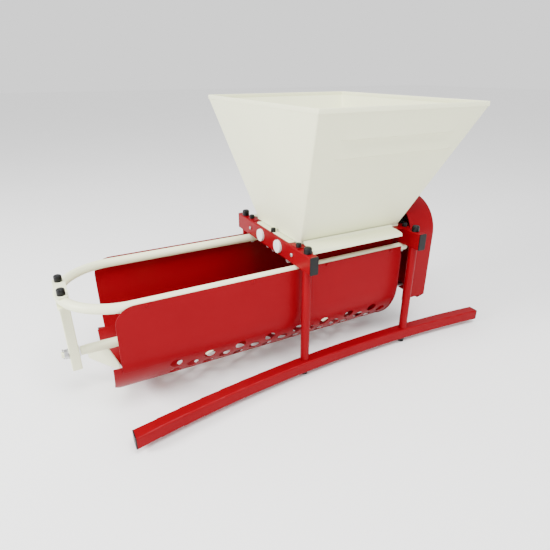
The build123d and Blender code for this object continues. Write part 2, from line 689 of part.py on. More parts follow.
flank_radii = [gear_base_r + (gear_tip_r - gear_base_r) * i / 4 for i in range(5)]
with BuildSketch() as tooth:
    with BuildLine():
        Spline(*[flank_point(r, -1) for r in flank_radii])
        ThreePointArc(flank_point(gear_tip_r, -1), (gear_tip_r, 0), flank_point(gear_tip_r, 1))
        Spline(*[flank_point(r, 1) for r in flank_radii])
        Line(flank_point(gear_base_r, 1), (gear_root_r - 1, gear_base_r * sin(flank_angle(gear_base_r))))
        Line((gear_root_r - 1, gear_base_r * sin(flank_angle(gear_base_r))),
             (gear_root_r - 1, -gear_base_r * sin(flank_angle(gear_base_r))))
        Line((gear_root_r - 1, -gear_base_r * sin(flank_angle(gear_base_r))), flank_point(gear_base_r, -1))
    make_face()

for name, y, turn in (
    ("roller_gear_front", -roller_y, 0),
    ("roller_gear_rear", roller_y, 180 / gear_teeth),
):
    with BuildPart() as roller_gear:
        with BuildSketch(Plane.YZ.offset(gear_left_x)):
            with Locations((y, roller_z)):
                Circle(gear_root_r)
                with PolarLocations(0, gear_teeth, start_angle=turn):
                    add(tooth.sketch)
                Circle(roller_shaft_r + fit, mode=Mode.SUBTRACT)
                with PolarLocations(31, 5, start_angle=turn):
                    Circle(9, mode=Mode.SUBTRACT)
        extrude(amount=gear_width)
    roller_gear.part.label = name
    export_step(roller_gear.part, f"parts/{name}.step")


# ---- belt drive from the rear roller's shaft down to the rotor --------------------------------------
belt_slope = tan(radians(belt_side_angle))
groove_slack = 0.37
groove_bottom = 4.5


def groove_half(height):
    """Half width of a pulley's groove, at a height above the belt's pitch line."""
    return belt_top_width / 2 + groove_slack + belt_slope * (height - belt_depth / 2)


def pulley(pitch_r, y, z, rim_height, half_width, hub_r, web_half, bore_r):
    """V pulley about an axis along X, with a hub, a thin web and a grooved rim."""
    rim_r = pitch_r + rim_height
    rim_inner_r = pitch_r - groove_bottom - 5
    with BuildPart() as wheel:
        axis_plane = Plane(origin=(0, y, z), x_dir=(1, 0, 0), z_dir=(0, -1, 0))
        with BuildSketch(axis_plane):
            with Locations((belt_x, (rim_r + bore_r) / 2)):
                Rectangle(2 * half_width, rim_r - bore_r)
            with BuildLine():
                Polyline(
                    (belt_x - groove_half(rim_height + 1), rim_r + 1),
                    (belt_x - groove_half(-groove_bottom), pitch_r - groove_bottom),
                    (belt_x + groove_half(-groove_bottom), pitch_r - groove_bottom),
                    (belt_x + groove_half(rim_height + 1), rim_r + 1),
                    close=True,
                )
            make_face(mode=Mode.SUBTRACT)
            if rim_inner_r > hub_r:
                for side in (-1, 1):
                    with Locations((belt_x + side * (half_width + web_half) / 2, (rim_inner_r + hub_r) / 2)):
                        Rectangle(half_width - web_half, rim_inner_r - hub_r, mode=Mode.SUBTRACT)
        revolve(axis=Axis((0, y, z), (1, 0, 0)))
    return wheel.part


drive_pulley = pulley(drive_pulley_r, roller_y, roller_z, 2, 9, 20, 3, roller_shaft_r + fit)
drive_pulley.label = "drive_pulley"
export_step(drive_pulley, "parts/drive_pulley.step")

rotor_pulley = pulley(rotor_pulley_r, 0, rotor_z, 2.5, 9, 25, 3, rotor_stub_r + fit)
rotor_pulley.label = "rotor_pulley"
export_step(rotor_pulley, "parts/rotor_pulley.step")

# the belt runs straight between the points where both pulleys have the same normal
centre_distance = hypot(roller_y, roller_z - rotor_z)
centre_angle = degrees(atan2(roller_z - rotor_z, roller_y))
wrap_half = degrees(acos((rotor_pulley_r - drive_pulley_r) / centre_distance))


def rim_point(y, z, r, angle):
    """Point on a circle in the plane across the shafts, at an angle from +Y in degrees."""
    return (y + r * cos(radians(angle)), z + r * sin(radians(angle)))


belt_length = sqrt(centre_distance ** 2 - (drive_pulley_r - rotor_pulley_r) ** 2)
belt_bottom_half = belt_top_width / 2 - belt_slope * belt_depth
with BuildPart() as drive_belt:
    for y, z, r, start, arc in (
        (roller_y, roller_z, drive_pulley_r, centre_angle - wrap_half, 2 * wrap_half),
        (0, rotor_z, rotor_pulley_r, centre_angle + wrap_half, 360 - 2 * wrap_half),
    ):
        outward = (0, cos(radians(start)), sin(radians(start)))
        along = (0, -sin(radians(start)), cos(radians(start)))
        start_point = rim_point(y, z, r, start)
        cut = Plane(origin=(belt_x, start_point[0], start_point[1]), x_dir=outward, z_dir=along)
        for piece in ("curve", "straight"):
            with BuildSketch(cut):
                with BuildLine():
                    Polyline(
                        (-belt_depth / 2, -belt_bottom_half),
                        (belt_depth / 2, -belt_top_width / 2),
                        (belt_depth / 2, belt_top_width / 2),
                        (-belt_depth / 2, belt_bottom_half),
                        close=True,
                    )
                make_face()
            if piece == "curve":
                revolve(axis=Axis((0, y, z), (1, 0, 0)), revolution_arc=arc)
            else:
                extrude(amount=-belt_length)
drive_belt.part.label = "drive_belt"
export_step(drive_belt.part, "parts/drive_belt.step")


# ---- rotor: tube with stub ends, nine oblique paddles, end nut, collar and bushes ----------------------
rotor_left_x, pin_inset = -656.5, 4.5
rotor_tube_left, rotor_tube_right = -598.0, 320.0
rotor_right_x = belt_x + 14
with BuildPart() as rotor_shaft:
    with BuildSketch(Plane.YZ.offset(rotor_tube_left)):
        with Locations((0, rotor_z)):
            Circle(rotor_tube_r)
            Circle(rotor_tube_r - 2.5, mode=Mode.SUBTRACT)
    extrude(amount=rotor_tube_right - rotor_tube_left)
    for tube_end, stub_end in ((rotor_tube_left + 14, rotor_left_x), (rotor_tube_right - 14, rotor_right_x)):
        with BuildSketch(Plane.YZ.offset(tube_end)):
            with Locations((0, rotor_z)):
                Circle(rotor_stub_r)
        extrude(amount=stub_end - tube_end)
    # welded plugs join the stubs to the tube
    for plug_x in (rotor_tube_left, rotor_tube_right - 12):
        with BuildSketch(Plane.YZ.offset(plug_x)):
            with Locations((0, rotor_z)):
                Circle(rotor_tube_r - 2.5)
        extrude(amount=12)
    # hole for the split pin
    with Locations((rotor_left_x + pin_inset, 0, rotor_z)):
        Cylinder(1.6, 40, mode=Mode.SUBTRACT)
rotor_shaft.part.label = "rotor_shaft"
export_step(rotor_shaft.part, "parts/rotor_shaft.step")

# Each paddle turns a quarter further than the one before. The plates stand oblique to the
# shaft, so that they push the stems along the trough to its open end.
paddle_thick, paddle_skew = 3.0, -42.0
first_paddle_x, first_paddle_turn = -555.5, 27.0
with BuildPart() as paddles:
    for i in range(paddle_count):
        turn = first_paddle_turn + 90 * i
        skew = radians(paddle_skew)
        radial = Vector(0, sin(radians(turn)), -cos(radians(turn)))
        across = Vector(0, cos(radians(turn)), sin(radians(turn)))
        u_dir = Vector(cos(skew), 0, 0) + across * sin(skew)
        base = (first_paddle_x + i * paddle_pitch, 0, rotor_z)
        blade = Plane(origin=base, x_dir=u_dir, z_dir=u_dir.cross(radial))
        with BuildSketch(blade):
            with BuildLine():
                FilletPolyline(
                    (-20, 8),
                    (20, 8),
                    (48, 68),
                    (48, paddle_reach),
                    (-48, paddle_reach),
                    (-48, 68),
                    radius=6,
                    close=True,
                )
            make_face()
        extrude(amount=paddle_thick / 2, both=True)
    with Locations(Location((0, 0, rotor_z), (0, 90, 0))):
        Cylinder(rotor_tube_r, 1400, mode=Mode.SUBTRACT)
paddles.part.label = "beater_paddles"
export_step(paddles.part, "parts/beater_paddles.step")

# nylon bushes: one through the bracket's post, one in the trough's end plate
bush_seats = (
    (post_x + post_size / 2, 15, 3, rotor_bush_r, post_size),
    (right_inner_x, 20, 5, rotor_hub_r, end_plate + 5),
)
with BuildPart() as rotor_bushes:
    for seat_x, flange_r, flange_thick, body_r, body_length in bush_seats:
        seat = Plane(origin=(seat_x, 0, rotor_z), x_dir=(0, 1, 0), z_dir=(1, 0, 0))
        with BuildSketch(seat):
            Circle(flange_r)
        extrude(amount=flange_thick)
        with BuildSketch(seat):
            Circle(body_r - fit)
        extrude(amount=-body_length)
        with BuildSketch(seat.offset(flange_thick)):
            Circle(rotor_stub_r + fit)
        extrude(amount=-2 * post_size, mode=Mode.SUBTRACT)
rotor_bushes.part.label = "rotor_bushes"
export_step(rotor_bushes.part, "parts/rotor_bushes.step")

with BuildPart() as rotor_washer:
    with BuildSketch(Plane.YZ.offset(post_x - post_size / 2 - 2.5)):
        with Locations((0, rotor_z)):
            Circle(14)
            Circle(rotor_stub_r + fit, mode=Mode.SUBTRACT)
    extrude(amount=2)
rotor_washer.part.label = "rotor_washer"
export_step(rotor_washer.part, "parts/rotor_washer.step")

with BuildPart() as rotor_end_nut:
    with BuildSketch(Plane.YZ.offset(post_x - post_size / 2 - 3)):
        with Locations((0, rotor_z)):
            RegularPolygon(22 / sqrt(3), 6)
            Circle(rotor_stub_r + fit, mode=Mode.SUBTRACT)
    extrude(amount=-8)
    chamfer(rotor_end_nut.edges().filter_by(Plane.YZ).group_by(Axis.X)[0].filter_by(GeomType.LINE), 0.8)
rotor_end_nut.part.label = "rotor_end_nut"
export_step(rotor_end_nut.part, "parts/rotor_end_nut.step")

with BuildPart() as rotor_split_pin:
    with Locations((rotor_left_x + pin_inset, 0, rotor_z)):
        Cylinder(1.5, 26)
    with Locations((rotor_left_x + pin_inset, 0, rotor_z + 14)):
        Sphere(2.6)
rotor_split_pin.part.label = "rotor_split_pin"
export_step(rotor_split_pin.part, "parts/rotor_split_pin.step")

collar_left_x = post_x + post_size / 2 + 4
with BuildPart() as rotor_collar:
    with BuildSketch(Plane.YZ.offset(collar_left_x)):
        with Locations((0, rotor_z)):
            Circle(12.5)
            Circle(rotor_stub_r + fit, mode=Mode.SUBTRACT)
    extrude(amount=rotor_tube_left - 0.5 - collar_left_x)
rotor_collar.part.label = "rotor_collar"
export_step(rotor_collar.part, "parts/rotor_collar.step")


# ---- guard over gears and belt, with its spacer tubes and long screws ---------------------------------
guard_length = guard_right_x - right_outer_x


def guard_outline(inset):
    """The guard's outline across the machine, moved inwards by an amount."""
    half, bottom, top = guard_half_width - inset, guard_bottom + inset, guard_top - inset
    shoulder_y, shoulder_z = guard_half_width - guard_corner, guard_top - guard_corner
    corner = guard_corner - inset
    slant = guard_chamfer - 0.59 * inset
    with BuildSketch() as outline:
        with BuildLine():
            Line((-half + slant, bottom), (half - slant, bottom))
            Line((half - slant, bottom), (half, bottom + slant))
            Line((half, bottom + slant), (half, shoulder_z))
            CenterArc((shoulder_y, shoulder_z), corner, 0, 90)
            Line((shoulder_y, top), (-shoulder_y, top))
            CenterArc((-shoulder_y, shoulder_z), corner, 90, 90)
            Line((-half, shoulder_z), (-half, bottom + slant))
            Line((-half, bottom + slant), (-half + slant, bottom))
        make_face()
    return outline.sketch_local


with BuildPart() as guard_cover:
    with BuildSketch(Plane.YZ.offset(right_outer_x)):
        add(guard_outline(0))
    extrude(amount=guard_length)
    with BuildSketch(Plane.YZ.offset(right_outer_x)):
        add(guard_outline(sheet))
    extrude(amount=guard_length - sheet, mode=Mode.SUBTRACT)
    # open below, so that juice drains: only the outer face reaches down to the chamfers
    with BuildSketch(Plane.YZ.offset(right_outer_x)):
        with Locations((0, guard_bottom + guard_chamfer)):
            Rectangle(4 * guard_half_width, 60, align=(Align.CENTER, Align.MAX))
    extrude(amount=guard_length - sheet, mode=Mode.SUBTRACT)
    # lugs against the beam
    with BuildSketch(Plane.YZ.offset(right_outer_x)):
        add(guard_outline(0))
        with Locations((0, roller_z - 4)):
            Rectangle(4 * guard_half_width, 24, mode=Mode.INTERSECT)
            Rectangle(240, 24, mode=Mode.SUBTRACT)
        with Locations(feed_points):
            Circle(3.2, mode=Mode.SUBTRACT)
    extrude(amount=guard_lug)
    # the outer face is open only for the crankshaft and the two long screws
    with BuildSketch(Plane.YZ.offset(guard_right_x - 5)):
        with Locations((roller_y, roller_z)):
            Circle(12)
        with Locations((-spacer_y, spacer_z), (spacer_y, spacer_z)):
            Circle(3.2)
    extrude(amount=10, mode=Mode.SUBTRACT)
guard_cover.part.label = "guard_cover"
export_step(guard_cover.part, "parts/guard_cover.step")

with BuildPart() as guard_spacers:
    with BuildSketch(Plane.YZ.offset(right_inner_x)):
        with Locations((-spacer_y, spacer_z), (spacer_y, spacer_z)):
            Circle(7)
            Circle(3.4, mode=Mode.SUBTRACT)
    extrude(amount=guard_right_x - sheet - right_inner_x)
guard_spacers.part.label = "guard_spacers"
export_step(guard_spacers.part, "parts/guard_spacers.step")

guard_screw_length = guard_right_x - right_inner_x + end_plate + 8
with BuildPart() as guard_screws:
    with Locations(*[Location((guard_right_x, y, spacer_z), (0, 90, 0)) for y in (-spacer_y, spacer_y)]):
        add(cap_screw(3, guard_screw_length, 5.5, 4))
guard_screws.part.label = "guard_screws"
export_step(guard_screws.part, "parts/guard_screws.step")



# ---- nuts and caps of one size, wherever they sit --------------------------------------------------------
with BuildPart() as m8_nuts:
    with Locations(*[Location((x, y, beam_top)) for x, y in leg_points]):
        add(m8_nut)
    with Locations(*[Location((x, y, foot_drop), (180, 0, 0)) for x, y in leg_points]):
        add(m8_nut)
    with Locations(*[Location((x, y, bracket_top)) for x, y in bracket_points]):
        add(m8_nut)
m8_nuts.part.label = "m8_nuts"
export_step(m8_nuts.part, "parts/m8_nuts.step")

hopper_tab_top = beam_top + sheet
with BuildPart() as m6_nuts:
    with Locations(*[Location((x, y, flange_top)) for x, y in rail_points]):
        add(m6_nut)
    with Locations(*[Location((x, 0, hopper_tab_top)) for x in beam_xs]):
        add(m6_nut)
    with Locations(*[Location((left_inner_x + plate, y, z), (0, 90, 0)) for y, z in feed_points]):
        add(m6_nut)
    with Locations(*[Location((right_inner_x - plate, y, z), (0, -90, 0)) for y, z in feed_points]):
        add(m6_nut)
    for y in (-spacer_y, spacer_y):
        with Locations(Location((right_inner_x - end_plate, y, spacer_z), (0, -90, 0))):
            add(m6_nut)
m6_nuts.part.label = "m6_nuts"
export_step(m6_nuts.part, "parts/m6_nuts.step")

with BuildPart() as large_nut_caps:
    with Locations(*[Location((x, y, beam_top)) for x, y in leg_points]):
        add(nut_cap(11, 18, 8, 11))
    with Locations(*[Location((x, y, bracket_top)) for x, y in bracket_points]):
        add(nut_cap(10, 17, 8, 11))
large_nut_caps.part.label = "large_nut_caps"
export_step(large_nut_caps.part, "parts/large_nut_caps.step")

with BuildPart() as small_nut_caps:
    with Locations(*[Location((x, y, flange_top)) for x, y in rail_points]):
        add(nut_cap(7.5, 12, 6.1, 8))
    with Locations(*[Location((x, 0, hopper_tab_top)) for x in beam_xs]):
        add(nut_cap(7.5, 12, 6.1, 8))
small_nut_caps.part.label = "small_nut_caps"
export_step(small_nut_caps.part, "parts/small_nut_caps.step")


# ---- crank on the rear roller's shaft -------------------------------------------------------------------
pin_z = roller_z + crank_length
arm_width, arm_thick, pin_r = 30.0, 8.0, 6.0
with BuildPart() as crank_arm:
    with BuildSketch(Plane.YZ.offset(crank_x)):
        with Locations((roller_y, roller_z + crank_length / 2)):
            SlotCenterToCenter(crank_length, arm_width, rotation=90)
        with Locations((roller_y, pin_z)):
            Circle(pin_r + fit, mode=Mode.SUBTRACT)
    extrude(amount=arm_thick)
    with BuildSketch(Plane.YZ.offset(crank_x - 8)):
        with Locations((roller_y, roller_z)):
            Circle(17)
    extrude(amount=crank_hub_right - crank_x + 8)
    with BuildSketch(Plane.YZ.offset(crank_x - 10)):
        with Locations((roller_y, roller_z)):
            Circle(roller_shaft_r + fit)
    extrude(amount=40, mode=Mode.SUBTRACT)
crank_arm.part.label = "crank_arm"
export_step(crank_arm.part, "parts/crank_arm.step")

# the pin's shoulder stops the grip against the arm and a washer face holds it at the far end
grip_left_x, grip_length, grip_r = crank_x + arm_thick + 3.0, 110.0, 16.0
pin_right_x = grip_left_x + grip_length + 1
with BuildPart() as crank_pin:
    with BuildSketch(Plane.YZ.offset(crank_x - 3)):
        with Locations((roller_y, pin_z)):
            Circle(pin_r)
    extrude(amount=pin_right_x - crank_x + 3)
    with BuildSketch(Plane.YZ.offset(crank_x + arm_thick)):
        with Locations((roller_y, pin_z)):
            Circle(11)
    extrude(amount=2.5)
    with BuildSketch(Plane.YZ.offset(pin_right_x)):
        with Locations((roller_y, pin_z)):
            Circle(11)
    extrude(amount=4)
    fillet(crank_pin.edges().group_by(Axis.X)[-1], 2)
crank_pin.part.label = "crank_pin"
export_step(crank_pin.part, "parts/crank_pin.step")

with BuildPart() as crank_grip:
    grip_plane = Plane(origin=(grip_left_x, roller_y, pin_z), x_dir=(1, 0, 0), z_dir=(0, -1, 0))
    with BuildSketch(grip_plane):
        with BuildLine():
            Line((0, pin_r + fit + 0.02), (0, 12))
            Spline((0, 12), (20, grip_r - 1), (60, grip_r), (95, 14.5), (grip_length, 12))
            Line((grip_length, 12), (grip_length, pin_r + fit + 0.02))
            Line((grip_length, pin_r + fit + 0.02), (0, pin_r + fit + 0.02))
        make_face()
    revolve(axis=Axis((0, roller_y, pin_z), (1, 0, 0)))
crank_grip.part.label = "crank_grip"
export_step(crank_grip.part, "parts/crank_grip.step")

with BuildPart() as crank_hub_nut:
    with BuildSketch(Plane.YZ.offset(crank_hub_right)):
        with Locations((roller_y, roller_z)):
            RegularPolygon(24 / sqrt(3), 6)
            Circle(roller_shaft_r + fit, mode=Mode.SUBTRACT)
    extrude(amount=5)
    chamfer(crank_hub_nut.edges().filter_by(Plane.YZ).group_by(Axis.X)[-1].filter_by(GeomType.LINE), 0.8)
crank_hub_nut.part.label = "crank_hub_nut"
export_step(crank_hub_nut.part, "parts/crank_hub_nut.step")
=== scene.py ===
from math import radians

import bmesh
import bpy
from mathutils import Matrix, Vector


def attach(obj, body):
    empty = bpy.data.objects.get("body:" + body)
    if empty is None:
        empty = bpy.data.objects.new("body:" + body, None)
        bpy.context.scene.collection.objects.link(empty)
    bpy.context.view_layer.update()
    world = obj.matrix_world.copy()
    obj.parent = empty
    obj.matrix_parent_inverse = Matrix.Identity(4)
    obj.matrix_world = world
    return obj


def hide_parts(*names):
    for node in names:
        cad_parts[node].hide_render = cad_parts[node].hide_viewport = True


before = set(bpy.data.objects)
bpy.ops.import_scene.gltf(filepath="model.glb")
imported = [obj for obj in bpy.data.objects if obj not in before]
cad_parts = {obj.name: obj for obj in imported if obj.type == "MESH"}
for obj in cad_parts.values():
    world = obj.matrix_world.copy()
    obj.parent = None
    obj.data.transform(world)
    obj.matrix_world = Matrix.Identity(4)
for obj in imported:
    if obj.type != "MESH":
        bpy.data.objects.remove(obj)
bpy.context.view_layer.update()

# ---- Camera, floor and light ----------------------------------------------------------------
# The machine stands on a plain pale floor, seen from a little above and from its open end.
# Three soft lamps and a white surround light it as a small studio would.
camera_data = bpy.data.cameras.new("camera")
camera_data.sensor_width = 36
camera_data.lens = 29.33018
camera_data.clip_end = 50
camera = bpy.data.objects.new("camera", camera_data)
camera.location = (-0.6245, -1.1185, 0.8238)
camera.rotation_euler = (radians(65.35), 0, radians(-28.1))
bpy.context.scene.collection.objects.link(camera)
bpy.context.scene.camera = camera


class Wire:
    """A shader socket that Python expressions can be written on."""

    def __init__(self, tree, socket=None):
        self.tree = tree
        self.socket = socket

    def node(self, kind, settings=None, values=None, out=0):
        """Adds any node: its settings first, then values or wires for its sockets."""
        made = self.tree.nodes.new(kind)
        for name, value in (settings or {}).items():
            setattr(made, name, value)
        for name, value in (values or {}).items():
            if isinstance(value, Wire):
                self.tree.links.new(value.socket, made.inputs[name])
            else:
                made.inputs[name].default_value = value
        return Wire(self.tree, made.outputs[out])

    def maths(self, operation, first, second):
        return self.node("ShaderNodeMath", {"operation": operation}, {0: first, 1: second})

    def __add__(self, other):
        return self.maths("ADD", self, other)

    def __radd__(self, other):
        return self.maths("ADD", other, self)

    def __sub__(self, other):
        return self.maths("SUBTRACT", self, other)

    def __rsub__(self, other):
        return self.maths("SUBTRACT", other, self)

    def __mul__(self, other):
        return self.maths("MULTIPLY", self, other)

    def __rmul__(self, other):
        return self.maths("MULTIPLY", other, self)


def start_material(name):
    """A new node material; returns it, its shader, a wire to build with and object coordinates."""
    material = bpy.data.materials.new(name)
    material.use_nodes = True
    wires = Wire(material.node_tree)
    place = wires.node("ShaderNodeTexCoord", out=3)
    return material, material.node_tree.nodes["Principled BSDF"], wires, place


def feed(wires, shader, **links):
    """Links wires to the shader's sockets, named with underscores."""
    for name, wire in links.items():
        wires.tree.links.new(wire.socket, shader.inputs[name.replace("_", " ")])


def noise(wires, place, scale, detail=2.0):
    """Noise from 0 to 1, at a scale in features per metre."""
    return wires.node("ShaderNodeTexNoise", {}, {"Vector": place, "Scale": scale, "Detail": detail})


def blend_colours(wires, factor, first, second):
    """Colour mix from first to second."""
    sockets = {0: factor, 6: first, 7: second}
    return wires.node("ShaderNodeMix", {"data_type": "RGBA"}, sockets, out=2)


floor_dull, floor_bright, floor_patches = (0.93, 0.93, 0.93, 1), (0.96, 0.96, 0.96, 1), 1.5
floor_material, floor_shader, wires, place = start_material("studio_floor")
floor_tone = blend_colours(wires, noise(wires, place, floor_patches), floor_dull, floor_bright)
feed(wires, floor_shader, Base_Color=floor_tone)
floor_shader.inputs["Roughness"].default_value = 0.9
bpy.ops.mesh.primitive_plane_add(size=40, location=(0, 0, 0))
floor = bpy.context.object
floor.name = "studio_floor"
floor.data.materials.append(floor_material)

surround = bpy.data.worlds.new("studio_surround")
surround.use_nodes = True
surround.node_tree.nodes["Background"].inputs["Color"].default_value = (1.0, 1.0, 1.0, 1)
surround.node_tree.nodes["Background"].inputs["Strength"].default_value = 1.3
bpy.context.scene.world = surround

lamps = (
    ("lamp_over", (-0.2, -1.5, 3.1), (0.1, 0.0, 0.3), 1.6, 135),
    ("lamp_front", (1.0, -3.2, 1.9), (0.1, 0.0, 0.35), 1.2, 12),
    ("lamp_left", (-3.4, 0.1, 1.9), (0.0, 0.0, 0.3), 1.2, 210),
)
for name, spot, aim, size, watts in lamps:
    lamp_data = bpy.data.lights.new(name, "AREA")
    lamp_data.shape = "DISK"
    lamp_data.size = size
    lamp_data.energy = watts
    lamp = bpy.data.objects.new(name, lamp_data)
    lamp.location = spot
    lamp.rotation_euler = (Vector(aim) - Vector(spot)).to_track_quat("-Z", "Y").to_euler()
    bpy.context.scene.collection.objects.link(lamp)

# ---- Support bars, legs and crossbeams ------------------------------------------------------
# Steel tube, cut and drilled before it is powder-coated red: square tube bent to a long bow
# below, round tube for the legs, rectangular tube across the machine.


def paint_nodes(material, names):
    """Gives CAD nodes a finish."""
    for name in names:
        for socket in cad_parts[name].material_slots:
            socket.material = material


def rounded_normal(wires, radius):
    """A normal that softens sharp edges by a radius."""
    return wires.node("ShaderNodeBevel", {"samples": 6}, {"Radius": radius})


def edge_mask(wires, radius, gain):
    """0 on faces and up to 1 along sharp edges, from how far a rounded normal turns."""
    flat = wires.node("ShaderNodeNewGeometry", out=1)
    sockets = {0: rounded_normal(wires, radius), 1: flat}
    alike = wires.node("ShaderNodeVectorMath", {"operation": "DOT_PRODUCT"}, sockets, out=1)
    return wires.node("ShaderNodeClamp", {}, {"Value": (1 - alike) * gain})


def relief(wires, height, strength, distance, edge_round):
    """A bump from a height, on a normal with softened edges."""
    sockets = {"Strength": strength, "Distance": distance, "Height": height}
    sockets["Normal"] = rounded_normal(wires, edge_round)
    return wires.node("ShaderNodeBump", {}, sockets)


def powder_coat(name, colour, deep, rough, coat, gloss):
    """Sprayed and baked powder: fine orange peel, faint clouds of tone, and a painted highlight
    that makes sharp edges paler.
    """
    cloud_scale, smudge_scale, peel_scale, dent_scale = 7.0, 38.0, 900.0, 24.0
    paler, lift, edge_highlight_show = 1.25, 0.03, 0.5
    smudge_rough, edge_rough, peel_height = 0.12, 0.1, 0.5
    material, shader, wires, place = start_material(name)
    edges = edge_mask(wires, radius=0.0012, gain=2.2)
    # Sharp edges are blended towards a paler colour: a painted highlight, not wear.
    painted_edge_highlight = [min(1, c * paler + lift) for c in colour[:3]] + [1]
    tone = blend_colours(wires, noise(wires, place, cloud_scale, detail=3.0), deep, colour)
    tone = blend_colours(wires, edges * edge_highlight_show, tone, painted_edge_highlight)
    smudge = noise(wires, place, smudge_scale, detail=4.0)
    peel = noise(wires, place, peel_scale, detail=1.0)
    dents = noise(wires, place, dent_scale, detail=1.0)
    skin = peel * peel_height + dents
    bump = relief(wires, skin, strength=0.12, distance=0.0004, edge_round=0.0008)
    dullness = rough + smudge * smudge_rough + edges * edge_rough
    feed(wires, shader, Base_Color=tone, Roughness=dullness, Normal=bump)
    shader.inputs["Coat Weight"].default_value = coat
    shader.inputs["Coat Roughness"].default_value = 0.12
    shader.inputs["Specular IOR Level"].default_value = gloss
    return material


red_colour, red_deep = (0.215, 0.0, 0.005, 1), (0.185, 0.0, 0.004, 1)
red = powder_coat("red_powder", red_colour, red_deep, rough=0.30, coat=0.01, gloss=0.06)
paint_nodes(red, (
    "support_bar_front", "support_bar_rear", "leg_front_left", "leg_front_right",
    "leg_rear_left", "leg_rear_right", "crossbeam_left", "crossbeam_right", "crank_arm",
    "panel_screws",
))

# ---- Trough, feed plates and guard ----------------------------------------------------------
# Rolled and folded steel sheet in the same red. The screen's holes are punched before the
# sheet is rolled and coated.
paint_nodes(red, (
    "trough_panel_front", "trough_panel_rear", "destemming_screen", "trough_end_plate",
    "feed_plate_front", "feed_plate_rear", "guard_cover",
))

# ---- Rail, end bracket and rotor ------------------------------------------------------------
# Bent round tube, a square post on a saddle plate, and the rotor with its welded paddles,
# all powder-coated in a warm white.
cream_colour, cream_deep = (0.84, 0.86, 0.60, 1), (0.79, 0.81, 0.55, 1)
cream = powder_coat("cream_powder", cream_colour, cream_deep, rough=0.36, coat=0.06, gloss=0.3)
paint_nodes(cream, (
    "rail", "end_bracket", "bracket_top_plate", "rotor_shaft", "rotor_collar", "beater_paddles",
))

# ---- Hopper ---------------------------------------------------------------------------------
# Four sloping walls folded from 1.5 mm sheet, with rounded corners, a rolled hem round the rim
# and two pressed ribs across the front wall. Screwed to the beams by two tabs, with an apron
# on each side.
paint_nodes(cream, ("hopper_aprons",))
throat_low, throat_high = (-0.0185, -0.1335, 0.3865), (0.3305, 0.1335, 0.392)
rim_low, rim_high = (-0.0975, -0.315, 0.740), (0.4175, 0.315, 0.752)
wall_inset, wall_overlap, wall_corner = 0.001, 0.001, 0.005
sheet_thick, sheet_edge = 0.0015, 0.0003
hem_thick, hem_edge, hem_corner = 0.003, 0.0013, 0.004
rib_reach, rib_under, rib_over, rib_run = 0.008, 0.003, 0.026, 0.02
ribs = ((0.682, -0.012, 0.336), (0.636, -0.02, 0.36))
tab_half_width, tab_under, tab_top, tab_corner = 0.105, 0.384, 0.3855, 0.008
tab_spans = ((-0.0375, -0.0172), (0.3292, 0.3495))
near = 0.0001


def box_piece(name, low, high):
    """A cube stretched to a box, its place in its mesh, left deselected in edit mode."""
    bpy.ops.object.select_all(action="DESELECT")
    middle = [(a + b) / 2 for a, b in zip(low, high)]
    bpy.ops.mesh.primitive_cube_add(size=1, location=middle)
    piece = bpy.context.object
    piece.name = name
    piece.scale = [b - a for a, b in zip(low, high)]
    bpy.ops.object.transform_apply(location=True, rotation=True, scale=True)
    bpy.ops.object.mode_set(mode="EDIT")
    bpy.ops.mesh.select_all(action="DESELECT")
    return piece


def choose(piece, kind, test):
    """In edit mode, selects only the verts, edges or faces that pass a test."""
    mesh = bmesh.from_edit_mesh(piece.data)
    bpy.ops.mesh.select_mode(type={"verts": "VERT", "edges": "EDGE", "faces": "FACE"}[kind])
    for group in (mesh.verts, mesh.edges, mesh.faces):
        for part in group:
            part.select = False
    for part in getattr(mesh, kind):
        part.select = bool(test(part))
    mesh.select_flush_mode()
    bmesh.update_edit_mesh(piece.data)


def is_upright(edge):
    """True for an edge that climbs."""
    return abs(edge.verts[0].co.z - edge.verts[1].co.z) > 0.001


def is_wall_corner(edge, split):
    """True where a side wall meets the front wall (split below 0) or the back wall (above 0)."""
    turn = [face.normal.y for face in edge.link_faces]
    sideways = [abs(face.normal.x) for face in edge.link_faces]
    return is_upright(edge) and min(turn) < split < max(turn) and max(sideways) > 0.9


def open_ends(piece):
    """Takes away the faces that look up and down, which leaves a band."""
    choose(piece, "faces", lambda face: abs(face.normal.z) > 0.9)
    bpy.ops.mesh.delete(type="FACE")


def thicken(piece, thickness, edge_round, segments):
    """Gives a band its wall, inwards, and rounds its edges."""
    bpy.ops.object.mode_set(mode="OBJECT")
    solid = piece.modifiers.new("wall", "SOLIDIFY")
    solid.thickness = thickness
    solid.offset = -1
    bpy.ops.object.modifier_apply(modifier="wall")
    bevel = piece.modifiers.new("edges", "BEVEL")
    bevel.width = edge_round
    bevel.segments = segments
    bevel.limit_method = "ANGLE"
    bevel.angle_limit = radians(50)
    bpy.ops.object.modifier_apply(modifier="edges")


